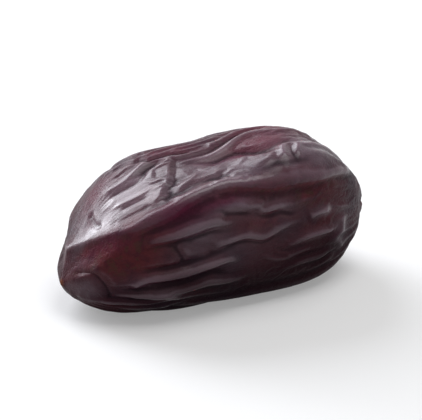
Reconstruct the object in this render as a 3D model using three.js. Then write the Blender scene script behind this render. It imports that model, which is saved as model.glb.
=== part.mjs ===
// A dried date: one whole fruit lying on its side, with its cap gone.
// Millimetres, +Z up. The fruit lies along X, with the blossom tip at -X and the stem end at +X.
// A place on the skin is given by its station, from -1 at the tip to 1 at the stem end, and by its angle in
// degrees, counted from the top of the fruit over its front (-Y): 0 top, 90 front, 180 underside, 270 back.
import * as THREE from "three";
import { mergeVertices } from "three/addons/utils/BufferGeometryUtils.js";

// Driving dimensions
const LENGTH = 49.8; // tip to stem end
const GIRTH_RADIUS = 12.4; // middle of the fruit, before its sides are flattened
const TIP_SINK = 0.36; // how far the middle line sinks towards the tip, in shares of the radius lost there
const STEM_DROOP = 0.3;
const REST_PRESS = 0.75; // how much of the soft underside is pressed flat where the fruit lies

// How full the body stays towards its ends: 2 for both powers is an ellipsoid, more is blunter.
const TIP_POWER = 2.87;
const STEM_POWER = 2.75;
const GIRTH_POWER = 2.15;

// Stem end: the pit where the cap sat, its corky rim and the puckers that gather towards it
const PIT_RADIUS = 1.5;
const PIT_DEPTH = 1.1;
const RIM_RADIUS = 2.3;
const RIM_HEIGHT = 0.35;
const PUCKER_COUNT = 11;
const PUCKER_HEIGHT = 0.22;
const PUCKER_REACH = 7;

// Blossom tip: the dried point of the style
const TIP_POINT_HEIGHT = 0.35;
const TIP_POINT_RADIUS = 0.9;

// Mesh: vertices around the fruit and rings along it
const AROUND = 84;
const ALONG = 58;

// The sides of the body. The fruit isn't round: it has dried into broad flats with soft corners between them.
// Each flat faces an angle, at a distance in shares of the girth radius, and may turn as it goes along.
// A bulge [rise, station, width] lifts it round one station, or cuts it down: the top slopes away to the tip.
const CORNER_SHARPNESS = 10;
const TIP_CUT = [-0.63, -1.0, 0.22];
const STEM_FALL = [-0.22, 0.95, 0.25];
const TOP_BULGES = [[0.25, 0.45, 0.4], [-0.01, -0.6, 0.35], TIP_CUT, STEM_FALL];
const BACK_BULGES = [[0.04, 0.42, 0.33], [0.03, -0.55, 0.3], TIP_CUT, STEM_FALL];
const FLATS = [
  { faces: 4, turns: -5, distance: 1.04, bulges: TOP_BULGES },
  { faces: 95, turns: -5, distance: 1.015, bulges: [[-0.02, 0.9, 0.3]] },
  { faces: 140, turns: 0, distance: 0.965, bulges: [[0.02, 0.8, 0.35]] },
  { faces: 180, turns: 0, distance: 0.87, bulges: [] },
  { faces: 226, turns: 0, distance: 1.03, bulges: [] },
  { faces: 274, turns: 0, distance: 1.0, bulges: [] },
  { faces: 325, turns: 0, distance: 1.06, bulges: BACK_BULGES },
];

// The main folds of the skin: the places each one runs through as [station, angle], how high its crest
// stands, and how wide its two flanks are, left and right as it is followed with the skin's outside up.
const FOLDS = [
  // the long shoulder, from the back round the top of the tip, and on between the top and the front
  {
    path: [
      [-0.62, -66], [-0.8, -62], [-0.91, -44], [-0.93, -20], [-0.91, 6], [-0.87, 30], [-0.8, 46], [-0.7, 53],
      [-0.56, 53], [-0.37, 48], [-0.16, 46], [0.13, 49], [0.47, 49], [0.86, 44],
    ],
    height: 0.75,
    flanks: [2.4, 0.7],
  },
  // the rim that leaves it near the tip and turns up across the top
  { path: [[-0.68, 51], [-0.58, 45], [-0.46, 33], [-0.34, 14], [-0.27, -8]], height: 0.42, flanks: [2, 0.5] },
  // a second, lower rim like it
  { path: [[-0.5, 48], [-0.33, 46], [-0.2, 42], [-0.12, 35], [-0.05, 22]], height: 0.32, flanks: [1.5, 0.6] },
  // along the top
  { path: [[-0.72, -6], [-0.61, 4], [-0.5, 0], [-0.38, -10]], height: 0.25, flanks: [1.6, 0.7] },
  { path: [[-0.14, 16], [0.03, 12], [0.2, 6], [0.42, 12], [0.7, 8]], height: 0.35, flanks: [1.6, 1.1] },
  { path: [[0.4, 34], [0.58, 31], [0.8, 35]], height: 0.25, flanks: [1.3, 1.1] },
  { path: [[-0.6, -38], [-0.3, -30], [0, -34], [0.36, -26], [0.8, -32]], height: 0.45, flanks: [1.5, 1.6] },
  // two shorter ones under the shoulder, and one further down the front
  { path: [[-0.42, 58], [-0.27, 55], [-0.12, 54], [0.01, 58], [0.12, 56]], height: 0.35, flanks: [0.9, 0.7] },
  { path: [[-0.64, 60], [-0.45, 64], [-0.33, 62], [-0.12, 58]], height: 0.35, flanks: [1.1, 0.7] },
  { path: [[-0.28, 79], [-0.14, 77], [-0.02, 75], [0.11, 79], [0.3, 71]], height: 0.45, flanks: [1.5, 0.7] },
  // low on the front
  { path: [[-0.68, 127], [-0.48, 114], [-0.16, 99]], height: 0.35, flanks: [1.2, 0.9] },
  { path: [[-0.3, 132], [0.1, 126], [0.5, 131], [0.84, 124]], height: 0.5, flanks: [1.5, 1.2] },
  // the back
  {
    path: [[-0.84, 296], [-0.5, 302], [-0.1, 292], [0.3, 301], [0.82, 294]],
    height: 0.6,
    flanks: [1.3, 1.6],
  },
  { path: [[-0.66, 262], [-0.28, 270], [0.14, 258], [0.5, 266]], height: 0.5, flanks: [1.2, 1.0] },
  { path: [[-0.1, 246], [0.3, 238], [0.62, 246], [0.88, 240]], height: 0.5, flanks: [1.1, 1.3] },
  {
    path: [[-0.86, 232], [-0.5, 226], [-0.16, 233], [0.2, 220], [0.56, 224]],
    height: 0.55,
    flanks: [1.4, 1.1],
  },
];
const FOLD_CREST = 0.35; // radius that rounds a fold's crest
const FADE_SHARE = 0.22; // each end of a fold dies away over this share of its length,
const FADE_REACH = 6; // or over this length if that is shorter
const FOLD_SAMPLES = 72;
const FOLD_JOIN = 4; // power of the soft maximum that joins folds where they meet

const bell = (x, centre, width) => Math.exp(-(((x - centre) / width) ** 2));
const ease = THREE.MathUtils.smoothstep;

/** Radius of the round body at a station, in shares of the girth radius. */
function fullness(station) {
  const power = station < 0 ? TIP_POWER : STEM_POWER;
  return Math.max(0, 1 - Math.abs(station) ** power) ** (1 / GIRTH_POWER);
}

/** How far the fruit's middle line hangs down at a station. */
function droop(station) {
  if (station < 0) return TIP_SINK * GIRTH_RADIUS * (1 - fullness(station));
  return STEM_DROOP * Math.max(0, station - 0.3) ** 2;
}

/** Distance of the side from the middle line, in shares of the round body's: a soft-cornered polygon. */
function flattening(station, degrees) {
  let total = 0;
  for (const { faces, turns, distance, bulges } of FLATS) {
    const lift = bulges.reduce((sum, [rise, centre, width]) => sum + rise * bell(station, centre, width), 0);
    const facing = Math.cos(THREE.MathUtils.degToRad(degrees - faces - turns * station));
    total += (Math.max(0, facing) / (distance + lift)) ** CORNER_SHARPNESS;
  }
  return total ** (-1 / CORNER_SHARPNESS);
}

/** The smooth body's surface at a station and an angle, with no folds. */
function bodyPoint(station, degrees) {
  const radius = GIRTH_RADIUS * fullness(station) * flattening(station, degrees);
  const angle = THREE.MathUtils.degToRad(degrees);
  return new THREE.Vector3(
    (LENGTH / 2) * station,
    -radius * Math.sin(angle),
    radius * Math.cos(angle) - droop(station),
  );
}

/** The body's half outline, from tip to stem end, so that rings can be spaced evenly along the skin. */
class Outline extends THREE.Curve {
  getPoint(t, target = new THREE.Vector2()) {
    const station = -Math.cos(Math.PI * t);
    return target.set((LENGTH / 2) * station, GIRTH_RADIUS * fullness(station));
  }
}

/** Lays a fold's path on the body as sample points, each with the height that the crest has there. */
function traceFold({ path, height, flanks }) {
  const curve = new THREE.CatmullRomCurve3(path.map(([station, degrees]) => bodyPoint(station, degrees)));
  const points = curve.getSpacedPoints(FOLD_SAMPLES);
  const fade = Math.min(FADE_SHARE, FADE_REACH / curve.getLength());
  const crests = points.map((_, i) => {
    const share = i / FOLD_SAMPLES;
    return height * ease(share, 0, fade) * ease(1 - share, 0, fade);
  });
  return { points, crests, flanks };
}

/** Height of one fold at a point of the skin: a rounded crest whose flanks die away at their own widths. */
function foldHeight({ points, crests, flanks }, point, normal) {
  let nearest = 0;
  for (let i = 1; i < points.length; i++) {
    if (points[i].distanceToSquared(point) < points[nearest].distanceToSquared(point)) nearest = i;
  }
  const ahead = points[Math.min(nearest + 1, points.length - 1)];
  const behind = points[Math.max(nearest - 1, 0)];
  const along = ahead.clone().sub(behind).normalize();
  const offset = point.clone().sub(points[nearest]);
  const [left, right] = flanks;
  const isLeft = along.clone().cross(offset).dot(normal) > 0;
  const distance = Math.hypot(offset.length(), FOLD_CREST) - FOLD_CREST;
  return crests[nearest] * Math.exp(-distance / (isLeft ? left : right));
}

/** Height of all folds together at a point of the skin. */
function foldRelief(folds, point, normal) {
  const sum = folds.reduce((total, fold) => total + foldHeight(fold, point, normal) ** FOLD_JOIN, 0);
  return sum ** (1 / FOLD_JOIN);
}

/** Relief of the stem end: the pit, its rim and the puckers round it. */
function stemRelief(point) {
  if (point.x < 0) return 0;
  const out = Math.hypot(point.y, point.z);
  const pit = -PIT_DEPTH * (1 - ease(out, 0.4 * PIT_RADIUS, 1.4 * PIT_RADIUS));
  const rim = RIM_HEIGHT * bell(out, RIM_RADIUS, 0.5 * PIT_RADIUS);
  const gather = ease(out, PIT_RADIUS, RIM_RADIUS + 1) * (1 - ease(out, RIM_RADIUS + 1, PUCKER_REACH));
  const pucker = PUCKER_HEIGHT * Math.cos(PUCKER_COUNT * Math.atan2(point.y, point.z));
  return pit + rim + gather * pucker;
}

/** Relief of the blossom tip: its small dried point. */
function tipRelief(point) {
  if (point.x > 0) return 0;
  const out = Math.hypot(point.y, point.z + droop(-1));
  return TIP_POINT_HEIGHT * bell(out, 0, TIP_POINT_RADIUS);
}

/** The whole skin: a closed sphere mesh, drawn out over the body and raised by the folds. */
function makeSkin() {
  const ball = new THREE.SphereGeometry(1, AROUND, ALONG);
  ball.deleteAttribute("normal");
  ball.deleteAttribute("uv");
  const skin = mergeVertices(ball);
  const places = skin.getAttribute("position");
  const outline = new Outline();
  const vertex = new THREE.Vector3();

  for (let i = 0; i < places.count; i++) {
    vertex.fromBufferAttribute(places, i);
    const share = Math.acos(THREE.MathUtils.clamp(vertex.y, -1, 1)) / Math.PI;
    const station = outline.getPointAt(share).x / (LENGTH / 2);
    const degrees = THREE.MathUtils.radToDeg(Math.atan2(vertex.z, vertex.x));
    places.setXYZ(i, ...bodyPoint(station, degrees));
  }

  skin.computeVertexNormals();
  const normals = skin.getAttribute("normal");
  const normal = new THREE.Vector3();
  const folds = FOLDS.map(traceFold);
  for (let i = 0; i < places.count; i++) {
    vertex.fromBufferAttribute(places, i);
    normal.fromBufferAttribute(normals, i);
    const relief = foldRelief(folds, vertex, normal) + stemRelief(vertex) + tipRelief(vertex);
    places.setXYZ(i, ...vertex.addScaledVector(normal, relief));
  }
  return skin;
}

/** Presses the underside flat and moves the skin so that the origin is the middle of its foot. */
function layDown(skin) {
  skin.computeBoundingBox();
  const floor = skin.boundingBox.min.z + REST_PRESS;
  const places = skin.getAttribute("position");
  for (let i = 0; i < places.count; i++) places.setZ(i, Math.max(places.getZ(i), floor));
  skin.computeBoundingBox();
  const { min, max } = skin.boundingBox;
  skin.translate(-(min.x + max.x) / 2, -(min.y + max.y) / 2, -floor);
  skin.computeVertexNormals();
  return skin;
}

const fruitSkin = new THREE.MeshStandardMaterial({ color: 0x3b1a1d, roughness: 0.38, metalness: 0 });

const date = new THREE.Mesh(layDown(makeSkin()), fruitSkin);
date.name = "date";

const fruit = new THREE.Group();
fruit.add(date);

export default fruit;
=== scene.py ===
"""A dried date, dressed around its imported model: the wrinkled skin, and a plain studio.

Every size is in metres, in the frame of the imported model: the fruit lies along X, with its blossom
tip at -X and its stem end at +X, on the surface z = 0. A place on the skin is given by its station,
from -1 at the tip to 1 at the stem end, and by its angle in degrees, counted from the top over the
front (-Y): 0 is the top, 90 the front, 180 the underside and 270 the back.
"""

import math

import bpy
import numpy as np
from bpy.props import FloatProperty, FloatVectorProperty, IntProperty, PointerProperty
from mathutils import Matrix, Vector


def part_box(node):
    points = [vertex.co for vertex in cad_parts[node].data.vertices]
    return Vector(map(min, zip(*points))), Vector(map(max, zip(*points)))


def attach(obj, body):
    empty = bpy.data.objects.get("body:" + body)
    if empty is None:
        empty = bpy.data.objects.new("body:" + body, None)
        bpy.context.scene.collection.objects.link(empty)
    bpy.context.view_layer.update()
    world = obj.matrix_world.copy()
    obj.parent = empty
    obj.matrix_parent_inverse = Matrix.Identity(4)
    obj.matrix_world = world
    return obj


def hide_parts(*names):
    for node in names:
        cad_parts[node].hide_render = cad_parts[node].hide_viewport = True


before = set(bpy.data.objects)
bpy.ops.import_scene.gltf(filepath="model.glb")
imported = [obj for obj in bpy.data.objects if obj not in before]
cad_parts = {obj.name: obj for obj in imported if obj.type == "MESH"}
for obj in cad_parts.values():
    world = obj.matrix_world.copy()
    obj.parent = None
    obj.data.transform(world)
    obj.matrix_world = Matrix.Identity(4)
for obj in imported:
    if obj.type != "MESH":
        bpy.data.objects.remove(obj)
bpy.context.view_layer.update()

bl_info = {
    "name": "Dried Date",
    "version": (1, 0, 0),
    "blender": (4, 5, 0),
    "location": "View3D > Sidebar > Date",
    "description": "Makes a dried date with buckled skin, and a plain studio to look at it in",
    "category": "Add Mesh",
}

MM = 0.001
FRUIT_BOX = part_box("date")


# --------------------------------------------------------------------------------------------------
# The smooth body
# --------------------------------------------------------------------------------------------------

# The fruit has dried into broad flats with soft corners between them. Each flat faces an angle, at a
# distance in shares of the girth radius, and may turn as it goes along the fruit. A bulge (rise,
# station, width) lifts it round one station, or cuts it down: the top slopes away to the tip.
TIP_CUT = (-0.63, -1.0, 0.22)
STEM_FALL = (-0.22, 0.95, 0.25)
TOP_BULGES = [(0.25, 0.45, 0.4), (-0.01, -0.6, 0.35), TIP_CUT, STEM_FALL]
BACK_BULGES = [(0.04, 0.42, 0.33), (0.03, -0.55, 0.3), TIP_CUT, STEM_FALL]
FLATS = [
    {"faces": 4, "turns": -5, "distance": 1.04, "bulges": TOP_BULGES},
    {"faces": 95, "turns": -5, "distance": 1.015, "bulges": [(-0.02, 0.9, 0.3)]},
    {"faces": 140, "turns": 0, "distance": 0.965, "bulges": [(0.02, 0.8, 0.35)]},
    {"faces": 180, "turns": 0, "distance": 0.87, "bulges": []},
    {"faces": 226, "turns": 0, "distance": 1.03, "bulges": []},
    {"faces": 274, "turns": 0, "distance": 1.0, "bulges": []},
    {"faces": 325, "turns": 0, "distance": 1.06, "bulges": BACK_BULGES},
]
CORNER_SHARPNESS = 10
TIP_POWER = 2.87
STEM_POWER = 2.75
GIRTH_POWER = 2.15
DROOP_START = 0.3  # station past which the stem end hangs
OUTLINE_STEPS = 4000


def bell(x, centre, width):
    """exp(-((x - centre) / width)^2)."""
    return np.exp(-(((x - centre) / width) ** 2))


def ease(x, low, high):
    """The smooth step 3t^2 - 2t^3, where t goes from 0 at low to 1 at high."""
    t = np.clip((x - low) / (high - low), 0, 1)
    return t * t * (3 - 2 * t)


def turned(angle, centre):
    """Angle from a centre, between -180 and 180 degrees."""
    return (angle - centre + 180) % 360 - 180


def fullness(station):
    """Radius of the round body in shares of the girth radius: (1 - |station|^power)^(1/girth power)."""
    power = np.where(station < 0, TIP_POWER, STEM_POWER)
    return np.maximum(0, 1 - np.abs(station) ** power) ** (1 / GIRTH_POWER)


def flattening(station, angle):
    """A soft-cornered polygon: (sum of (cos(angle from the flat) / distance)^sharpness)^(-1/sharpness)."""
    total = 0
    for flat in FLATS:
        bulges = sum(rise * bell(station, centre, width) for rise, centre, width in flat["bulges"])
        away = flat["distance"] + bulges
        facing = np.cos(np.radians(angle - flat["faces"] - flat["turns"] * station))
        total = total + (np.maximum(0, facing) / away) ** CORNER_SHARPNESS
    return total ** (-1 / CORNER_SHARPNESS)


def droop(body, station):
    """How far the middle line hangs: a share of the radius lost at the tip, a square at the stem end."""
    sink = body.tip_sink * body.girth_radius * (1 - fullness(station))
    return np.where(station < 0, sink, body.stem_droop * np.maximum(0, station - DROOP_START) ** 2)


def body_point(body, station, angle):
    """Smooth body at a station and an angle: round radius times flattening, about the middle line."""
    station, angle = np.broadcast_arrays(np.asarray(station, float), np.asarray(angle, float))
    radius = body.girth_radius * fullness(station) * flattening(station, angle)
    turn = np.radians(angle)
    height = radius * np.cos(turn) - droop(body, station)
    return np.stack([body.length / 2 * station, -radius * np.sin(turn), height], -1)


def ring_stations(body, rings):
    """Stations of the rings, at even distances along the outline and half a step away from each pole.

    The outline's length from pole to pole comes with them.
    """
    fine = -np.cos(np.linspace(0, np.pi, OUTLINE_STEPS + 1))
    steps = np.hypot(np.diff(body.length / 2 * fine), np.diff(body.girth_radius * fullness(fine)))
    run = np.concatenate([[0], np.cumsum(steps)])
    wanted = (np.arange(rings) + 0.5) / rings * run[-1]
    return np.interp(wanted, run, fine), run[-1]


def grid_normals(points):
    """Outward unit normals of a grid of rings: the cross product of its steps around and along."""
    along = np.gradient(points, axis=0)
    around = np.roll(points, -1, 1) - np.roll(points, 1, 1)
    normal = np.cross(around, along)
    return normal / np.linalg.norm(normal, axis=-1, keepdims=True)


# --------------------------------------------------------------------------------------------------
# Folds and creases laid along listed paths
# --------------------------------------------------------------------------------------------------

# Each line is (path, height, flanks). The path runs through places as (station, angle). The height is
# that of the crest, or of a crease its depth, below zero. The two flanks are its widths left and right,
# as it is followed with the skin's outside up. Heights and flanks are in millimetres.
# The main folds, which the imported model has too:
FOLDS = [
    # the long shoulder, from the back round the top of the tip, and on between the top and the front
    ([(-0.62, -66), (-0.8, -62), (-0.91, -44), (-0.93, -20), (-0.91, 6), (-0.87, 30), (-0.8, 46),
      (-0.7, 53), (-0.56, 53), (-0.37, 48), (-0.16, 46), (0.13, 49), (0.47, 49), (0.86, 44)],
     0.75, (2.4, 0.7)),
    # the rim that leaves it near the tip and turns up across the top
    ([(-0.68, 51), (-0.58, 45), (-0.46, 33), (-0.34, 14), (-0.27, -8)], 0.42, (2.0, 0.5)),
    # a second, lower rim like it
    ([(-0.5, 48), (-0.33, 46), (-0.2, 42), (-0.12, 35), (-0.05, 22)], 0.32, (1.5, 0.6)),
    # along the top
    ([(-0.72, -6), (-0.61, 4), (-0.5, 0), (-0.38, -10)], 0.25, (1.6, 0.7)),
    ([(-0.14, 16), (0.03, 12), (0.2, 6), (0.42, 12), (0.7, 8)], 0.35, (1.6, 1.1)),
    ([(0.4, 34), (0.58, 31), (0.8, 35)], 0.25, (1.3, 1.1)),
    ([(-0.6, -38), (-0.3, -30), (0, -34), (0.36, -26), (0.8, -32)], 0.45, (1.5, 1.6)),
    # two shorter ones under the shoulder, and one further down the front
    ([(-0.42, 58), (-0.27, 55), (-0.12, 54), (0.01, 58), (0.12, 56)], 0.35, (0.9, 0.7)),
    ([(-0.64, 60), (-0.45, 64), (-0.33, 62), (-0.12, 58)], 0.35, (1.1, 0.7)),
    ([(-0.28, 79), (-0.14, 77), (-0.02, 75), (0.11, 79), (0.3, 71)], 0.45, (1.5, 0.7)),
    # low on the front
    ([(-0.68, 127), (-0.48, 114), (-0.16, 99)], 0.35, (1.2, 0.9)),
    ([(-0.3, 132), (0.1, 126), (0.5, 131), (0.84, 124)], 0.5, (1.5, 1.2)),
    # the back
    ([(-0.84, 296), (-0.5, 302), (-0.1, 292), (0.3, 301), (0.82, 294)], 0.6, (1.3, 1.6)),
    ([(-0.66, 262), (-0.28, 270), (0.14, 258), (0.5, 266)], 0.5, (1.2, 1.0)),
    ([(-0.1, 246), (0.3, 238), (0.62, 246), (0.88, 240)], 0.5, (1.1, 1.3)),
    ([(-0.86, 232), (-0.5, 226), (-0.16, 233), (0.2, 220), (0.56, 224)], 0.55, (1.4, 1.1)),
]
# Narrow wrinkles:
WRINKLES = [
    # between the rim and the top, near the tip
    ([(-0.74, 20), (-0.64, 28), (-0.54, 29), (-0.45, 23)], 0.22, (0.7, 0.5)),
    ([(-0.7, 35), (-0.62, 38), (-0.53, 39)], 0.2, (0.5, 0.4)),
    # in the hollows of the top, and across it
    ([(-0.36, 37), (-0.28, 33), (-0.2, 27)], 0.2, (0.5, 0.5)),
    ([(-0.1, 38), (0.02, 33), (0.12, 25)], 0.22, (0.8, 0.6)),
    ([(0.34, 26), (0.29, 36), (0.32, 47)], 0.45, (0.5, 0.6)),
    ([(0.44, 28), (0.38, 37), (0.39, 46)], 0.42, (0.6, 0.5)),
    # the front
    ([(0.04, 65), (0.14, 62), (0.26, 61)], 0.25, (0.7, 0.5)),
    ([(0.42, 73), (0.5, 70), (0.6, 70)], 0.45, (0.7, 0.5)),
    ([(0.38, 87), (0.5, 86), (0.64, 88)], 0.45, (0.7, 0.5)),
    ([(0.72, 74), (0.7, 90), (0.66, 98), (0.74, 114)], 0.4, (0.6, 0.7)),
    ([(-0.48, 98), (-0.33, 92), (-0.24, 91), (-0.12, 87)], 0.35, (1.0, 0.6)),
    ([(-0.72, 104), (-0.64, 95), (-0.55, 91)], 0.45, (0.6, 0.5)),
    ([(-0.62, 104), (-0.58, 114), (-0.5, 110), (-0.42, 104)], 0.4, (0.6, 0.5)),
    ([(-0.46, 118), (-0.33, 112)], 0.25, (0.7, 0.5)),
    ([(-0.92, 66), (-0.86, 81), (-0.78, 102)], 0.2, (0.5, 0.6)),
    ([(-0.97, 130), (-0.88, 121), (-0.78, 124)], 0.3, (0.9, 0.7)),
]
CREASES = [
    # between the folds of the top near the tip
    ([(-0.72, 6), (-0.62, 13), (-0.52, 12), (-0.42, -2)], -0.2, (0.35, 0.35)),
    ([(-0.43, -28), (-0.4, 0), (-0.44, 18), (-0.49, 22)], -0.25, (0.3, 0.3)),
    ([(-0.71, 31), (-0.62, 34), (-0.54, 34)], -0.2, (0.3, 0.3)),
    ([(-0.74, 42), (-0.64, 43), (-0.57, 42)], -0.2, (0.3, 0.3)),
    ([(-0.79, -10), (-0.81, 14), (-0.79, 33)], -0.25, (0.4, 0.4)),
    # behind the rim and along the top's valley
    ([(-0.6, 53), (-0.5, 46), (-0.4, 34), (-0.32, 18), (-0.24, 0)], -0.25, (0.6, 0.6)),
    ([(-0.16, 27), (-0.02, 20), (0.08, 20), (0.18, 28), (0.32, 31)], -0.35, (0.8, 0.8)),
    ([(0.375, 29), (0.34, 37), (0.355, 45)], -0.35, (0.35, 0.35)),
    ([(0.26, 32), (0.21, 43)], -0.25, (0.35, 0.35)),
    # under the shoulder and under the folds of the front
    ([(0.42, 53), (0.64, 50), (0.86, 47)], -0.3, (0.5, 0.5)),
    ([(-0.5, 56), (-0.3, 52), (-0.05, 51), (0.14, 53)], -0.25, (0.5, 0.5)),
    ([(-0.2, 60), (-0.07, 61), (0.04, 62)], -0.25, (0.5, 0.5)),
    ([(-0.2, 81), (-0.02, 79), (0.12, 83), (0.26, 76)], -0.3, (0.5, 0.5)),
    ([(0.02, 61), (0.14, 66), (0.22, 65), (0.36, 70)], -0.3, (0.5, 0.5)),
    ([(-0.5, 68), (-0.45, 78), (-0.4, 92)], -0.25, (0.7, 0.7)),
    # round the low pillow at the tip
    ([(-0.98, 62), (-0.93, 75), (-0.87, 94), (-0.83, 112), (-0.84, 128)], -0.42, (0.45, 0.45)),
]
CREST_SHARE = 0.35  # a crest is rounded over this share of the mean flank
FADE_SHARE = 0.22  # each end of a line dies away over this share of its length,
FADE_REACH = 6  # or over this many millimetres if that is shorter
FLANK_REACH = 6  # a line ends this many flanks away
LINE_STEPS = 48
CURVE_STEPS = 12  # for each point of a path, before its steps are made even
LINE_JOIN = 4


def through(points, steps):
    """Points at even distances on a Catmull-Rom curve: cubic pieces whose slopes join their neighbours."""
    padded = np.concatenate([2 * points[:1] - points[1:2], points, 2 * points[-1:] - points[-2:-1]])
    t = np.linspace(0, len(points) - 1, CURVE_STEPS * len(points))
    i = np.minimum(t.astype(int), len(points) - 2)
    f = (t - i)[:, None]
    a, b, c, d = padded[i], padded[i + 1], padded[i + 2], padded[i + 3]
    square, cube = 2 * a - 5 * b + 4 * c - d, 3 * b - a - 3 * c + d
    curve = 0.5 * (2 * b + (c - a) * f + square * f**2 + cube * f**3)
    run = np.concatenate([[0], np.cumsum(np.linalg.norm(np.diff(curve, axis=0), axis=1))])
    even = np.linspace(0, run[-1], steps + 1)
    return np.stack([np.interp(even, run, curve[:, k]) for k in range(3)], -1)


def line_height(body, path, height, flanks, points, normals):
    """Height of one line in millimetres: height * exp(-distance / flank), rounded at the crest."""
    places = np.array(path, float)
    line = through(body_point(body, places[:, 0], places[:, 1]), LINE_STEPS) / MM
    reach = FLANK_REACH * max(flanks)
    inside = np.all((points / MM > line.min(0) - reach) & (points / MM < line.max(0) + reach), -1)
    near, outward = points[inside] / MM, normals[inside]
    closest = np.full(len(near), np.inf)
    share = np.zeros_like(closest)
    side = np.zeros_like(closest)
    for i, (start, end) in enumerate(zip(line[:-1], line[1:])):
        step = end - start
        offset = near - start
        t = np.clip(offset @ step / (step @ step), 0, 1)
        offset = offset - t[:, None] * step
        distance = np.einsum("ij,ij->i", offset, offset)
        closer = distance < closest
        closest = np.where(closer, distance, closest)
        share = np.where(closer, (i + t) / LINE_STEPS, share)
        side = np.where(closer, np.einsum("ij,ij->i", np.cross(step, offset), outward), side)
    fade = min(FADE_SHARE, FADE_REACH / np.linalg.norm(np.diff(line, axis=0), axis=1).sum())
    crest = height * ease(share, 0, fade) * ease(1 - share, 0, fade)
    rounding = CREST_SHARE * sum(flanks) / 2
    distance = np.sqrt(closest + rounding**2) - rounding
    relief = np.zeros(points.shape[:2])
    relief[inside] = crest * np.exp(-distance / np.where(side > 0, *flanks))
    return relief


def laid_relief(body, points, normals):
    """All lines: the soft maximum (sum of height^4)^(1/4) of the raised ones, less that of the creases."""
    raised = sum(line_height(body, *line, points, normals) ** LINE_JOIN for line in FOLDS + WRINKLES)
    sunk = sum(line_height(body, *line, points, normals) ** LINE_JOIN for line in CREASES)
    return raised ** (1 / LINE_JOIN) - sunk ** (1 / LINE_JOIN)


# --------------------------------------------------------------------------------------------------
# The buckled skin
# --------------------------------------------------------------------------------------------------

STIFFNESS = 60.0  # of the skin in its own plane, where the ground's is 1
POISSON = 0.3  # how much the skin narrows as it is stretched
FIRST_MODULUS = STIFFNESS * POISSON / (1 - POISSON**2)
SHEAR_MODULUS = STIFFNESS / (2 * (1 + POISSON))
SLIP = 0.5  # how strongly the flesh keeps the skin from sliding
PRESS = 3.0  # how strongly it keeps the skin from sinking
REST = 0.04  # share of its hold that is left past the grip height
RATE = 0.02  # size of each step
DAMPING = 0.6  # against the fastest waves, as a share of the strongest pull in the skin
KEPT_WAVES = 0.66  # share of the grid's waves that is kept, so that products don't alias
START_NOISE = 0.02  # unevenness that the buckling starts from, in millimetres
ALONG_GRAIN = 1.6  # how much longer the grain of the skin is along the fruit than around it


def wave_numbers(shape, size):
    """Wave numbers, in radians for each unit of size, along and around a grid."""
    along = 2 * np.pi * np.fft.fftfreq(shape[0], size[0] / shape[0])[:, None]
    around = 2 * np.pi * np.fft.rfftfreq(shape[1], size[1] / shape[1])[None]
    return along, around


def smoothed(field, size, grain, stretch=1.0):
    """The field smoothed in wave space by exp(-(wave number * grain)^2 / 20), and more along the fruit."""
    along, around = wave_numbers(field.shape, size)
    smoothing = np.exp(-((along * grain * stretch) ** 2 + (around * grain) ** 2) / 20)
    return np.fft.irfft2(np.fft.rfft2(field) * smoothing, field.shape)


def soft_noise(random, shape, size, grain, stretch=1.0):
    """Even random field of the grain size, with a mean of 0 and a spread of 1."""
    field = smoothed(random.standard_normal(shape), size, grain, stretch)
    return (field - field.mean()) / field.std()


def uneven(noise, spread, low, high):
    """A factor round 1 that varies with the noise, kept between low and high."""
    return np.clip(1 + spread * noise, low, high)


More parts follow.
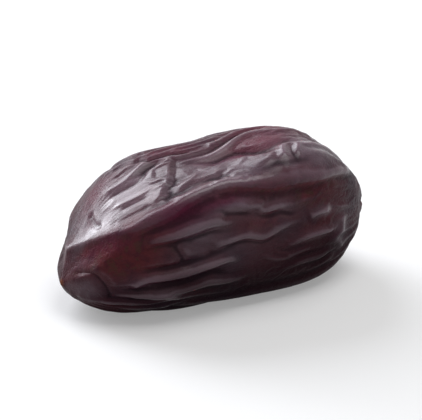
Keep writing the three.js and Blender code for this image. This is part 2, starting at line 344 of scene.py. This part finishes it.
def buckle(random, base, seeds, size, level, steps, calm, pillows):
    """Lets a thin skin that is too large for the flesh under it buckle, and returns its height.

    The skin is a plate on soft ground (the Foeppl-von Karman equations, solved in wave space). Its
    stretch is (w_i w_j - base_i base_j) / 2 + the slip along the ground - growth, its stiffness is set
    so that the easiest wave is the given one, and the flesh pulls it back until it lets go past the
    grip height. It lets go upwards, which leaves narrow raised folds, or where pillows is 1 downwards,
    which leaves narrow creases between broad pillows. The level's growth is (along, around), first for
    folds and then for pillows.
    """
    shape = base.shape
    kx, ky = wave_numbers(shape, size)
    k2 = kx**2 + ky**2
    to_waves = np.fft.rfft2

    def back(field):
        return np.fft.irfft2(field, shape)

    wave, spread, grip = level["wave"], level["spread"], level["grip"]
    bending = (wave / (2 * np.pi)) ** 4
    first, shear = FIRST_MODULUS, SHEAR_MODULUS
    a11 = (first + shear) * kx**2 + shear * k2 + SLIP
    a22 = (first + shear) * ky**2 + shear * k2 + SLIP
    a12 = (first + shear) * kx * ky
    det = a11 * a22 - a12**2
    keep = (np.abs(kx) < KEPT_WAVES * np.abs(kx).max()) & (ky < KEPT_WAVES * ky.max())

    (up_x, up_y), (down_x, down_y) = level["growth"]
    grow_x = calm * (up_x + (down_x - up_x) * pillows)
    grow_y = calm * (up_y + (down_y - up_y) * pillows)
    # the skin has grown more in some places than in others, and the flesh holds it unevenly
    grow_x *= uneven(soft_noise(random, shape, size, 2.4 * wave), 1.5 * spread, -1, 4)
    grow_y *= uneven(soft_noise(random, shape, size, 2.8 * wave, ALONG_GRAIN), spread, 0.05, 2.4)
    hold = uneven(soft_noise(random, shape, size, wave, ALONG_GRAIN), 0.7, 0.05, 3)
    w = base + seeds + START_NOISE * soft_noise(random, shape, size, 0.4 * wave)
    base_waves = to_waves(base) * keep
    base_x, base_y = back(1j * kx * base_waves), back(1j * ky * base_waves)
    unbent = bending * k2**2 * base_waves
    for step in range(steps):
        grown = min(1.0, 2 * (step + 1) / steps)
        waves = to_waves(w) * keep
        wx, wy = back(1j * kx * waves), back(1j * ky * waves)

        # the stretch of the skin, and the slip (u1, u2) that balances its pull in the plane
        exx = 0.5 * (wx * wx - base_x * base_x) - grown * grow_x
        eyy = 0.5 * (wy * wy - base_y * base_y) - grown * grow_y
        exy = 0.5 * (wx * wy - base_x * base_y)
        both = first * (exx + eyy)
        t11 = to_waves(both + 2 * shear * exx)
        t22 = to_waves(both + 2 * shear * eyy)
        t12 = to_waves(2 * shear * exy)
        b1, b2 = 1j * (kx * t11 + ky * t12), 1j * (kx * t12 + ky * t22)
        u1, u2 = (a22 * b1 - a12 * b2) / det, (a11 * b2 - a12 * b1) / det
        n11 = back(t11 + (first + 2 * shear) * 1j * kx * u1 + first * 1j * ky * u2)
        n22 = back(t22 + (first + 2 * shear) * 1j * ky * u2 + first * 1j * kx * u1)
        n12 = back(t12 + shear * 1j * (ky * u1 + kx * u2))

        # the ground, which lets go on one side and presses back on the other
        lift = w - base
        held = hold * (REST + (1 - REST) * np.exp(-((lift / grip) ** 2)))
        above, below = held + (PRESS - held) * pillows, PRESS + (held - PRESS) * pillows
        ground = -lift * np.where(lift > 0, above, below)

        # one step, with the bending and a damping taken at its end
        damping = DAMPING * max(np.abs(n11).max(), np.abs(n22).max())
        implicit = 1 / (1 + RATE * (bending * k2**2 + damping * k2 + 1))
        pull = 1j * kx * to_waves(n11 * wx + n12 * wy) + 1j * ky * to_waves(n12 * wx + n22 * wy)
        force = pull + to_waves(ground) + unbent
        w = back((waves + RATE * (force + (damping * k2 + 1) * waves)) * implicit * keep)
    return w


END_WAVE = 3.0  # millimetres
END_WAVE_SPREAD = (0.7, 1.5)
END_WAVE_COUNT = 160
END_HEIGHT = 0.12  # millimetres for each spread of the sum
END_ROUNDING = 0.05  # of the creases' bottoms


def end_wrinkles(random, points):
    """Wrinkles with no grain of their own: rounded creases, -sqrt(s^2 + END_ROUNDING).

    s is a sum of cosines in space, each with its own direction, wave and phase, with a spread of 1.
    """
    turn = random.standard_normal((END_WAVE_COUNT, 3))
    turn /= np.linalg.norm(turn, axis=1, keepdims=True)
    number = 2 * np.pi / (END_WAVE * MM * random.uniform(*END_WAVE_SPREAD, END_WAVE_COUNT))
    phase = random.uniform(0, 2 * np.pi, END_WAVE_COUNT)
    total = np.zeros(points.shape[:2])
    for direction, k, start in zip(turn, number, phase):
        total += np.cos(points @ direction * k + start)
    return -np.sqrt((total / np.sqrt(END_WAVE_COUNT / 2)) ** 2 + END_ROUNDING)


# --------------------------------------------------------------------------------------------------
# The whole skin
# --------------------------------------------------------------------------------------------------

PIT_RADIUS = 1.5 * MM
PIT_DEPTH = 1.1 * MM
RIM_RADIUS = 2.3 * MM
RIM_HEIGHT = 0.35 * MM
PUCKER_COUNT = 11
PUCKER_HEIGHT = 0.22 * MM
PUCKER_REACH = 7 * MM
TIP_POINT_HEIGHT = 0.35 * MM
TIP_POINT_RADIUS = 0.9 * MM


def stem_relief(points):
    """The pit where the cap sat, its raised rim, and puckers that gather towards it."""
    out = np.hypot(points[..., 1], points[..., 2])
    pit = -PIT_DEPTH * (1 - ease(out, 0.4 * PIT_RADIUS, 1.4 * PIT_RADIUS))
    rim = RIM_HEIGHT * bell(out, RIM_RADIUS, 0.5 * PIT_RADIUS)
    gather = ease(out, PIT_RADIUS, RIM_RADIUS + MM) * (1 - ease(out, RIM_RADIUS + MM, PUCKER_REACH))
    pucker = PUCKER_HEIGHT * np.cos(PUCKER_COUNT * np.arctan2(points[..., 1], points[..., 2]))
    return np.where(points[..., 0] > 0, pit + rim + gather * pucker, 0)


def tip_relief(body, points):
    """The dried point of the blossom: a small bell at the tip."""
    out = np.hypot(points[..., 1], points[..., 2] + droop(body, -1))
    return np.where(points[..., 0] < 0, TIP_POINT_HEIGHT * bell(out, 0, TIP_POINT_RADIUS), 0)


def scar(body, points):
    """1 on the corky scar: a soft disk in the stem end, and a bell on the point of the tip."""
    stem = 1 - ease(np.hypot(points[..., 1], points[..., 2]), RIM_RADIUS - MM, RIM_RADIUS + 0.4 * MM)
    tip = bell(np.hypot(points[..., 1], points[..., 2] + droop(body, -1)), 0, 0.5 * TIP_POINT_RADIUS)
    return np.where(points[..., 0] > 0, stem, tip)


LAID_SHARE = 0.8  # the share of the laid lines that is in the flesh; the rest only starts folds
# The two levels of wrinkles, coarse and fine, as buckle() reads them, in millimetres:
COARSE = {"wave": 2.6, "growth": ((0.002, 0.085), (0.002, 0.035)), "spread": 1.3, "grip": 0.08}
FINE = {"wave": 1.1, "growth": ((0.006, 0.045), (0.006, 0.05)), "spread": 1.2, "grip": 0.15}
GROWN_RINGS = (0.3, 0.8)  # the skin grows more and more from the smaller ring to the larger one
BUCKLED_RINGS = (0.4, 0.9)  # and towards the poles its buckles give way to the end wrinkles
PILLOWED_TOP = -6  # the angle in the middle of the pillowed top
PILLOWED_EDGE = (44, 60)  # and how far from it the pillows give way to folds
CREST_GRAIN = 3.0  # millimetres of skin around, above which a crest is measured

# Spots of the skin, each (station, angle, reach along, reach around, strength).
# Where the skin stays smooth:
SMOOTH = [
    (-0.78, 76, 0.2, 22, 0.3), (-0.95, 20, 0.12, 90, 0.85), (-0.8, 15, 0.2, 60, 0.95),
    (-0.6, 24, 0.16, 20, 0.6), (0, 172, 1.2, 45, 0.9), (0, 255, 1.2, 45, 0.4),
]
PATCHES = {
    # thin crimson skin under the shoulder
    "blush": [(-0.45, 53, 0.16, 6, 1.0), (-0.2, 54, 0.14, 3, 0.7), (-0.82, 54, 0.1, 10, 0.5)],
    # bare red-brown skin: below the tip's edge, under the shoulder, here and there, and at the stem
    "ruddy": [
        (-0.7, 72, 0.2, 22, 1.0), (-0.82, 62, 0.15, 16, 0.8), (-0.88, 44, 0.05, 10, 0.9),
        (-0.02, 50, 0.2, 3, 1.0), (0.2, 51.5, 0.25, 5.5, 1.0), (0.12, 68, 0.18, 5, 0.6),
        (0.45, 55, 0.18, 9, 1.0), (0.15, 20, 0.2, 8, 0.4), (0.5, 80, 0.15, 10, 0.4),
        (-0.45, 284, 0.25, 16, 0.5), (0.15, 262, 0.3, 14, 0.5), (0.6, 290, 0.2, 14, 0.5),
        (-0.8, 250, 0.12, 22, 0.4), (1.0, 90, 0.025, 400, 0.9),
    ],
    # the dry film on the top and on single crests, partly a painted sheen on the top and painted highlights
    # on the crests
    "bloom_and_sheen": [
        (-0.6, 18, 0.22, 30, 1.0), (-0.8, 20, 0.1, 25, 0.8), (-0.1, 30, 0.3, 22, 0.6),
        (0.4, 25, 0.4, 26, 0.6), (0.0, 322, 0.9, 30, 0.35), (-0.94, 106, 0.06, 22, 0.45),
        (-0.94, 58, 0.05, 12, 0.5), (-0.1, 56, 0.14, 4, 1.0), (-0.33, 68, 0.15, 8, 0.4),
        (0.72, 90, 0.1, 20, 0.15), (0.5, 38, 0.12, 10, 0.8), (0.2, 62, 0.15, 8, 0.4),
        (-0.2, 84, 0.5, 22, 0.3), (-0.63, 97, 0.09, 7, 0.6), (-0.52, 110, 0.1, 5, 0.5),
        (0.55, 70, 0.08, 4, 0.6), (0.52, 86, 0.12, 4, 0.6), (0.7, 95, 0.05, 18, 0.5),
        (0.31, 38, 0.05, 10, 0.8), (0.39, 38, 0.035, 9, 0.6), (-0.02, 38, 0.06, 10, 0.7),
    ],
    # bare pink skin between the patches of film
    "rosy": [
        (-0.73, -18, 0.11, 18, 0.9), (-0.83, 6, 0.05, 12, 0.6), (-0.25, -12, 0.2, 14, 0.8),
        (0.2, 20, 0.25, 9, 0.8), (0.35, 2, 0.3, 12, 0.7),
    ],
    # painted shade, nearly black: on the underside, low on the front, and on the lower back
    "shade": [
        (0.0, 180, 2.0, 50, 1.0), (0.1, 122, 0.7, 24, 0.95), (0.6, 104, 0.25, 18, 0.7),
        (0.8, 48, 0.07, 14, 0.4), (0.0, 268, 2.0, 46, 0.65), (-0.4, 100, 0.14, 9, 0.5),
    ],
}


def patch(spots, station, angle):
    """Strength of a patch: 1 - product over its spots of (1 - strength * bell along * bell around)."""
    rest = 1
    for centre, facing, along, around, strength in spots:
        rest = rest * (1 - strength * bell(station, centre, along) * bell(turned(angle, facing), 0, around))
    return 1 - rest


def make_skin(body, skin):
    """The skin as a grid of rings, and the fields that its material reads.

    The laid lines are partly in the flesh. The skin buckles over them twice, first coarsely and then
    finely on the coarse folds. The crest field is the height above the skin around, in its spreads.
    """
    stations, outline = ring_stations(body, skin.rings)
    angles = np.arange(skin.around) * 360 / skin.around
    station, angle = np.meshgrid(stations, angles, indexing="ij")
    points = body_point(body, station, angle)
    normals = grid_normals(points)

    laid = laid_relief(body, points, normals)
    size = (outline / MM, 2 * np.pi * body.girth_radius / MM)
    ring_size = fullness(stations)[:, None]
    calmed = patch(SMOOTH, station, angle)
    calm = ease(ring_size, *GROWN_RINGS) * (1 - calmed)
    taper = ease(ring_size, *BUCKLED_RINGS) * (1 - calmed**2)
    pillows = 1 - ease(np.abs(turned(angle, PILLOWED_TOP)), *PILLOWED_EDGE)
    random = np.random.default_rng(skin.seed)
    flesh = (LAID_SHARE + (1 - LAID_SHARE) * calmed) * laid
    coarse = buckle(random, flesh, laid - flesh, size, COARSE, skin.coarse_steps, calm, pillows)
    fine = buckle(random, coarse, 0, size, FINE, skin.fine_steps, calm, 0.5 * pillows)
    ends = (1 - taper) * (1 - calmed) * END_HEIGHT * end_wrinkles(random, points)
    relief = (fine - flesh) * taper + flesh + ends
    crest = relief - smoothed(relief, size, CREST_GRAIN)
    crest /= crest[ring_size[:, 0] > GROWN_RINGS[1]].std()
    cork = scar(body, points)
    relief = relief * MM + stem_relief(points) + tip_relief(body, points)
    points = points + relief[..., None] * normals

    floor = points[..., 2].min() + body.rest_press
    points[..., 2] = np.maximum(points[..., 2], floor)
    fields = {name: patch(spots, station, angle) for name, spots in PATCHES.items()}
    return points, {"crest": crest, "cork": cork, **fields}


def grid_mesh(name, points, fields):
    """A closed mesh: rings of quads, and a fan at each pole. Fields become point attributes.

    A pole lies at the mean of its ring's points, and its value of a field is the mean of theirs.
    """
    rings, around = points.shape[:2]
    poles = np.stack([points[0].mean(0), points[-1].mean(0)])
    vertices = np.concatenate([points.reshape(-1, 3), poles])
    index = np.arange(rings * around).reshape(rings, around)
    after = np.roll(index, -1, 1)
    quads = np.stack([index[:-1], after[:-1], after[1:], index[1:]], -1).reshape(-1, 4)
    tip = np.stack([np.full(around, rings * around), after[0], index[0]], -1)
    stem = np.stack([np.full(around, rings * around + 1), index[-1], after[-1]], -1)
    corners = np.concatenate([quads.ravel(), tip.ravel(), stem.ravel()])
    sizes = np.concatenate([np.full(len(quads), 4), np.full(2 * around, 3)])
    starts = np.concatenate([[0], np.cumsum(sizes)[:-1]])
    mesh = bpy.data.meshes.new(name)
    mesh.vertices.add(len(vertices))
    mesh.vertices.foreach_set("co", vertices.astype(np.float32).ravel())
    mesh.loops.add(len(corners))
    mesh.loops.foreach_set("vertex_index", corners.astype(np.int32))
    mesh.polygons.add(len(sizes))
    mesh.polygons.foreach_set("loop_start", starts.astype(np.int32))
    mesh.polygons.foreach_set("use_smooth", np.ones(len(sizes), bool))
    for field, values in fields.items():
        made = mesh.attributes.new(field, "FLOAT", "POINT")
        ends = [values[0].mean(), values[-1].mean()]
        made.data.foreach_set("value", np.concatenate([values.ravel(), ends]).astype(np.float32))
    mesh.update(calc_edges=True)
    mesh.validate()
    return mesh


# --------------------------------------------------------------------------------------------------
# Materials
# --------------------------------------------------------------------------------------------------


class Value:
    """A shader socket that holds a number. Python's operators on it add Math nodes."""

    def __init__(self, nodes, socket):
        self.nodes, self.socket = nodes, socket

    def math(self, operation, *others):
        return self.nodes.add("ShaderNodeMath", {"operation": operation}, [self, *others])

    def __add__(self, other):
        return self.math("ADD", other)

    def __sub__(self, other):
        return self.math("SUBTRACT", other)

    def __mul__(self, other):
        return self.math("MULTIPLY", other)

    def __rsub__(self, other):
        return self.nodes.add("ShaderNodeMath", {"operation": "SUBTRACT"}, [other, self])

    __radd__, __rmul__ = __add__, __mul__

    def clamp(self):
        return self.nodes.add("ShaderNodeClamp", {}, [self])

    def step(self, low, high):
        """0 below low, 1 above high, and smooth between them."""
        settings = {"interpolation_type": "SMOOTHSTEP"}
        return self.nodes.add("ShaderNodeMapRange", settings, [self, low, high, 0.0, 1.0])

    def crease(self, width):
        """0 along the lines where a noise passes its middle, and 1 away from them."""
        return (self - 0.5).math("ABSOLUTE").step(0.0, width)


class Nodes:
    """The node tree of a material or of the world."""

    def __init__(self, owner):
        owner.use_nodes = True
        self.owner, self.tree = owner, owner.node_tree
        self.tree.nodes.clear()

    def add(self, kind, settings, inputs, output=0):
        """Adds a node: its settings first, then its inputs by place or by name. Returns one output."""
        node = self.tree.nodes.new(kind)
        for key, value in settings.items():
            setattr(node, key, value)
        pairs = inputs.items() if isinstance(inputs, dict) else enumerate(inputs)
        for key, value in pairs:
            if isinstance(value, Value):
                self.tree.links.new(value.socket, node.inputs[key])
            else:
                node.inputs[key].default_value = value
        return Value(self, node.outputs[output])

    def attribute(self, name):
        return self.add("ShaderNodeAttribute", {"attribute_name": name}, [], "Fac")

    def mix(self, share, first, second):
        """A colour between two, each a link or an RGB triple."""
        inputs = {"Factor": share, 6: self.colour(first), 7: self.colour(second)}
        return self.add("ShaderNodeMix", {"data_type": "RGBA", "clamp_factor": True}, inputs, 2)

    @staticmethod
    def colour(value):
        return value if isinstance(value, Value) else (*value, 1)

    def noise(self, place, scale, detail=2.0, roughness=0.5, distortion=0.0):
        inputs = {"Vector": place, "Scale": scale, "Detail": detail, "Roughness": roughness,
                  "Distortion": distortion}
        return self.add("ShaderNodeTexNoise", {}, inputs, "Fac")

    def emission(self, strength):
        inputs = {"Color": (1, 1, 1, 1), "Strength": strength}
        return self.add("ShaderNodeEmission", {}, inputs)

    def diffuse(self, grey):
        return self.add("ShaderNodeBsdfDiffuse", {}, {"Color": (grey, grey, grey, 1)})

    def background(self, strength):
        inputs = {"Color": (1, 1, 1, 1), "Strength": strength}
        return self.add("ShaderNodeBackground", {}, inputs)

    def finish(self, surface, output="ShaderNodeOutputMaterial"):
        self.tree.links.new(surface.socket, self.tree.nodes.new(output).inputs["Surface"])
        return self.owner


# Noises of the skin, as (waves for each metre, detail, roughness):
BROAD = (110, 3, 0.5)
MOTTLE = (420, 4, 0.6)
FLECK = (800, 3, 0.6)
STREAK = (900, 3, 0.6)
GRAIN = (3000, 3, 0.6)
STREAK_STRETCH = (0.35, 1.0, 1.0)
# The height fields, in their own spreads, over which a crest turns pale, partly as a painted highlight, and
# a hollow turns dark as painted shade:
CREST_RANGE = (1.0, 2.6)
RELIEF_HEIGHT = 0.1 * MM
RELIEF_STRENGTH = 0.7
SPECULAR_LEVEL = 0.035
WAX_ROUGHNESS = 0.24
SUBSURFACE_SHARE = 0.05
SUBSURFACE_RADIUS = (1.8 * MM, 0.5 * MM, 0.3 * MM)


def skin_material(look):
    """Dark waxy date skin: dark red-brown, pale on the crests (dry skin and a painted highlight), painted
    shade near black in the hollows and on the underside, and a film on top that is partly a painted sheen.

    The film and the crests shine through a coat of varying weight, the wax. Bare skin has little of it.
    """
    n = Nodes(bpy.data.materials.new("date_skin_finish"))
    place = n.add("ShaderNodeTexCoord", {}, [], "Object")
    crest, blush, ruddy = n.attribute("crest"), n.attribute("blush"), n.attribute("ruddy")
    bloom_and_sheen, rosy = n.attribute("bloom_and_sheen"), n.attribute("rosy")
    shade, cork = n.attribute("shade"), n.attribute("cork")
    stretched = n.add("ShaderNodeMapping", {}, {"Vector": place, "Scale": STREAK_STRETCH})
    broad = n.noise(place, *BROAD)
    mottle = n.noise(place, *MOTTLE)
    fleck = n.noise(place, *FLECK)
    streak = n.noise(stretched, *STREAK)
    grain = n.noise(place, *GRAIN)
    # the crests turn paler: partly dry skin, partly a painted highlight
    high = (crest + mottle * 1.2).step(*CREST_RANGE)
    # painted shade: the hollows, lower than the skin around, darken
    low = (mottle * 0.8 - crest).step(*CREST_RANGE) * (1 - (ruddy + blush).clamp() * 0.5)

    colour = n.mix(broad.step(0.35, 0.65), look.dark, look.red)
    colour = n.mix((ruddy * (mottle.step(0.3, 0.6) * 0.8 + 0.2)).clamp(), colour, look.ruddy)
    colour = n.mix(ruddy * fleck.step(0.5, 0.65) * 0.7, colour, look.tan)
    colour = n.mix(blush * (streak * 0.8 + 0.4), colour, look.crimson)
    # the film: a real dry film, and partly a painted sheen on the top and painted highlights on single
    # crests
    colour = n.mix((bloom_and_sheen * (high * 0.4 + mottle + streak * 0.5 - 0.15)).clamp(), colour, look.bloom_and_sheen)
    colour = n.mix(rosy * (streak + 0.2).clamp(), colour, look.rosy)
    bare = (ruddy + blush + shade + cork).clamp()
    # pale crests: dry skin and a painted highlight
    colour = n.mix(high * (1 - bare * 0.6) * 0.5, colour, look.pale)
    # painted shade in the hollows
    colour = n.mix(low * 0.75, colour, look.painted_shade_tone)
    # painted shade, nearly black, over the shade patch: the underside, low on the front and the lower back
    colour = n.mix(shade * 0.85, colour, look.painted_shade_tone)
    bark = n.mix(fleck.step(0.35, 0.7), look.cork, look.husk)
    colour = n.mix((cork * (fleck * 0.8 + 0.6)).clamp(), colour, bark)

    long_creases = n.noise(stretched, 1000, 2, 0.5, 0.6).crease(0.1)
    fine_creases = n.noise(place, 900, 2, 0.5, 0.8).crease(0.08)
    relief = grain + streak + mottle + (long_creases * 0.5 + fine_creases * 0.4)
    inputs = {"Strength": RELIEF_STRENGTH, "Distance": RELIEF_HEIGHT, "Height": relief}
    bump = n.add("ShaderNodeBump", {}, inputs, "Normal")
    roughness = mottle * 0.2 + 0.3 + ruddy * 0.1 + cork * 0.3
    film = bloom_and_sheen * (1 - rosy * 0.9) * (mottle + streak) * 1.2 + high * 0.7 + 0.04
    wax = (film * (1 - bare * 0.92) * (1 - low * 0.8)).clamp()
    shader = n.add("ShaderNodeBsdfPrincipled", {}, {
        "Base Color": colour, "Roughness": roughness, "Normal": bump,
        "Specular IOR Level": SPECULAR_LEVEL,
        "Coat Weight": wax, "Coat Roughness": WAX_ROUGHNESS,
        "Subsurface Weight": SUBSURFACE_SHARE, "Subsurface Radius": SUBSURFACE_RADIUS,
        "Subsurface Scale": 1.0,
    })
    return n.finish(shader)


# --------------------------------------------------------------------------------------------------
# Studio
# --------------------------------------------------------------------------------------------------

# Lamps, as (name, place from the fruit's middle, width, power, colour):
LAMPS = [
    ("back_light", (-0.12, 0.44, 0.37), 0.50, 3.0, (0.92, 0.94, 1.0)),
    ("low_light", (-0.36, 0.80, 0.20), 0.34, 2.7, (0.92, 0.94, 1.0)),
    ("top_light", (0.10, -0.15, 0.65), 0.50, 1.9, (1.0, 1.0, 1.0)),
]
WORLD_LIGHT = 0.25
VIEW_SHARE = 1.28  # width of the view, in lengths of the fruit
FLOOR_REACH = 3.0  # from the middle to each side
FLOOR_GREY = 0.5  # the floor for the light that it throws back at the fruit
FLOOR_PALE, FLOOR_GLOW = 0.72, 0.28  # the floor in view: its own paint, and what lifts it to white
FLOOR_FADE = (80 * MM, 350 * MM)  # distances from the middle between which it turns plain white


def background_rays(n):
    """1 on the rays that show the background: straight from the camera, mirrored, or let through."""
    kinds = ["Is Camera Ray", "Is Glossy Ray", "Is Transmission Ray"]
    camera, mirrored, through = [n.add("ShaderNodeLightPath", {}, [], kind) for kind in kinds]
    return (camera + mirrored + through).clamp()


def floor_material():
    """A grey floor, and a nearly white one for the rays that show the background.

    The nearly white one is a pale paint with a little glow, so it still takes the fruit's shadow.
    Away from the fruit, where the lamps no longer reach, it turns plain white.
    """
    n = Nodes(bpy.data.materials.new("studio_floor_finish"))
    place = n.add("ShaderNodeTexCoord", {}, [], "Object")
    away = n.add("ShaderNodeVectorMath", {"operation": "LENGTH"}, [place], "Value")
    lifted = n.add("ShaderNodeAddShader", {}, [n.diffuse(FLOOR_PALE), n.emission(FLOOR_GLOW)])
    shown = n.add("ShaderNodeMixShader", {}, [away.step(*FLOOR_FADE), lifted, n.emission(1.0)])
    return n.finish(n.add("ShaderNodeMixShader", {}, [background_rays(n), n.diffuse(FLOOR_GREY), shown]))


def studio_world():
    """A plain dim world, white for the rays that show the background."""
    n = Nodes(bpy.data.worlds.new("studio_world"))
    worlds = [background_rays(n), n.background(WORLD_LIGHT), n.background(1.0)]
    return n.finish(n.add("ShaderNodeMixShader", {}, worlds), "ShaderNodeOutputWorld")


def make_floor(scene):
    """A square of floor at height 0, under the middle of the frame."""
    x = FLOOR_REACH
    mesh = bpy.data.meshes.new("floor")
    mesh.from_pydata([(-x, -x, 0), (x, -x, 0), (x, x, 0), (-x, x, 0)], [], [(0, 1, 2, 3)])
    mesh.materials.append(floor_material())
    floor = bpy.data.objects.new("floor", mesh)
    scene.collection.objects.link(floor)


def make_lamp(scene, middle, name, place, width, power, colour):
    """A round area lamp that faces the fruit's middle."""
    light = bpy.data.lights.new(name, "AREA")
    light.shape, light.size, light.energy, light.color = "DISK", width, power, colour
    lamp = bpy.data.objects.new(name, light)
    lamp.location = middle + Vector(place)
    lamp.rotation_euler = (middle - lamp.location).to_track_quat("-Z", "Y").to_euler()
    scene.collection.objects.link(lamp)


def make_camera(scene, middle, length, studio):
    """A camera that faces the fruit's middle, with a lens that fits the view to the fruit's length."""
    around, above = math.radians(studio.azimuth), math.radians(studio.elevation)
    level = math.cos(above)
    back = Vector((math.sin(around) * level, -math.cos(around) * level, math.sin(above)))
    camera = bpy.data.objects.new("camera", bpy.data.cameras.new("camera"))
    camera.location = middle + back * studio.distance
    camera.rotation_euler = (-back).to_track_quat("-Z", "Y").to_euler()
    camera.data.lens = camera.data.sensor_width * studio.distance / (VIEW_SHARE * length)
    scene.collection.objects.link(camera)
    scene.camera = camera


# --------------------------------------------------------------------------------------------------
# Settings and operators
# --------------------------------------------------------------------------------------------------


def metres(name, description, default):
    return FloatProperty(name=name, description=description, default=default, min=0,
                         unit="LENGTH", precision=5)


def count(name, description, default, least):
    return IntProperty(name=name, description=description, default=default, min=least)


def tint(name, description, default):
    return FloatVectorProperty(name=name, description=description, default=default, min=0, max=1,
                               size=3, subtype="COLOR")


class DateBody(bpy.types.PropertyGroup):
    """Sizes of the smooth fruit."""
    length: metres("Length", "Tip to stem end, without the point of the tip", 49.8 * MM)
    girth_radius: metres("Girth radius", "Middle of the fruit, before its sides are flattened", 12.4 * MM)
    tip_sink: FloatProperty(
        name="Tip sink", description="Sinking of the tip, as a share of the radius lost there",
        default=0.36, min=0, max=1, subtype="FACTOR")
    stem_droop: metres("Stem droop", "How far the stem end hangs below the middle line", 0.3 * MM)
    rest_press: metres("Rest press", "How much of the underside is pressed flat", 0.75 * MM)


class DateSkin(bpy.types.PropertyGroup):
    """The buckled skin's grid and its finish."""
    rings: count("Rings", "Rings of points along the fruit", 256, 16)
    around: count("Around", "Points in each ring", 384, 16)
    seed: count("Seed", "Which of the possible skins to grow", 3, 0)
    coarse_steps: count("Coarse steps", "Steps in which the main wrinkles grow", 200, 1)
    fine_steps: count("Fine steps", "Steps in which the fine wrinkles grow", 140, 1)
    dark: tint("Dark", "Skin over most of the fruit", (0.037, 0.014, 0.024))
    red: tint("Red", "Skin where the flesh shows through a little", (0.06, 0.013, 0.02))
    ruddy: tint("Ruddy", "Red-brown skin of the mottled patches", (0.12, 0.022, 0.023))
    crimson: tint("Crimson", "Thin skin under the shoulder", (0.12, 0.006, 0.032))
    tan: tint("Tan", "Flecks in the ruddy patches", (0.07, 0.034, 0.02))
    # the film's colour, partly a painted sheen on the top and painted highlights on crests
    bloom_and_sheen: tint("Bloom", "Dry lilac film on the top", (0.13, 0.06, 0.1))
    rosy: tint("Rosy", "Bare pink skin on the top", (0.16, 0.045, 0.068))
    # partly dry skin, partly a painted highlight along the crests
    pale: tint("Pale", "Dry skin along the crests", (0.14, 0.07, 0.10))
    cork: tint("Cork", "Corky scar of the stem", (0.36, 0.13, 0.05))
    husk: tint("Husk", "Dark grain of the scar", (0.08, 0.024, 0.014))
    # the colour of painted shade, in the creases and on the underside
    painted_shade_tone: tint("Deep", "Creases and the underside", (0.008, 0.003, 0.006))


class DateStudio(bpy.types.PropertyGroup):
    """Camera, lamps and floor."""
    azimuth: FloatProperty(
        name="Azimuth", description="Degrees that the camera is turned round the fruit from its front",
        default=-26.6)
    elevation: FloatProperty(
        name="Elevation", description="Degrees that the camera looks down", default=24.0)
    distance: metres("Distance", "From the camera to the fruit", 0.6)


class DATE_OT_skin(bpy.types.Operator):
    """Make the date's whole skin."""
    bl_idname = "date.skin"
    bl_label = "Date Skin"

    def execute(self, context):
        body, skin = context.scene.date_body, context.scene.date_skin
        points, fields = make_skin(body, skin)
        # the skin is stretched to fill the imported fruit's box exactly
        low, high = (np.array(corner) for corner in FRUIT_BOX)
        size = points.max((0, 1)) - points.min((0, 1))
        points = (points - points.min((0, 1))) * ((high - low) / size) + low
        mesh = grid_mesh("date_skin_and_flesh", points, fields)
        mesh.materials.append(skin_material(skin))
        piece = bpy.data.objects.new("date_skin_and_flesh", mesh)
        context.scene.collection.objects.link(piece)
        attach(piece, "root")
        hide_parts("date")
        return {"FINISHED"}


class DATE_OT_studio(bpy.types.Operator):
    """Make the camera, the lamps, the world and the floor."""
    bl_idname = "date.studio"
    bl_label = "Date Studio"

    def execute(self, context):
        scene = context.scene
        low, high = (Vector(corner) for corner in FRUIT_BOX)
        middle = (low + high) / 2
        make_camera(scene, middle, high.x - low.x, scene.date_studio)
        for lamp in LAMPS:
            make_lamp(scene, middle, *lamp)
        scene.world = studio_world()
        make_floor(scene)
        scene.view_settings.view_transform = "Standard"
        return {"FINISHED"}


class DATE_PT_panel(bpy.types.Panel):
    """Lists the date's pieces in the sidebar."""
    bl_idname = "DATE_PT_panel"
    bl_label = "Date"
    bl_space_type = "VIEW_3D"
    bl_region_type = "UI"
    bl_category = "Date"

    def draw(self, context):
        for operator in OPERATORS:
            self.layout.operator(operator.bl_idname)


GROUPS = {"date_body": DateBody, "date_skin": DateSkin, "date_studio": DateStudio}
OPERATORS = [DATE_OT_studio, DATE_OT_skin]


def register():
    for cls in [*GROUPS.values(), *OPERATORS, DATE_PT_panel]:
        bpy.utils.register_class(cls)
    for name, group in GROUPS.items():
        setattr(bpy.types.Scene, name, PointerProperty(type=group))


def unregister():
    for name in GROUPS:
        delattr(bpy.types.Scene, name)
    for cls in [DATE_PT_panel, *OPERATORS, *GROUPS.values()]:
        bpy.utils.unregister_class(cls)


def main():
    register()
    bpy.ops.date.studio()
    bpy.ops.date.skin()


if __name__ == "__main__":
    main()
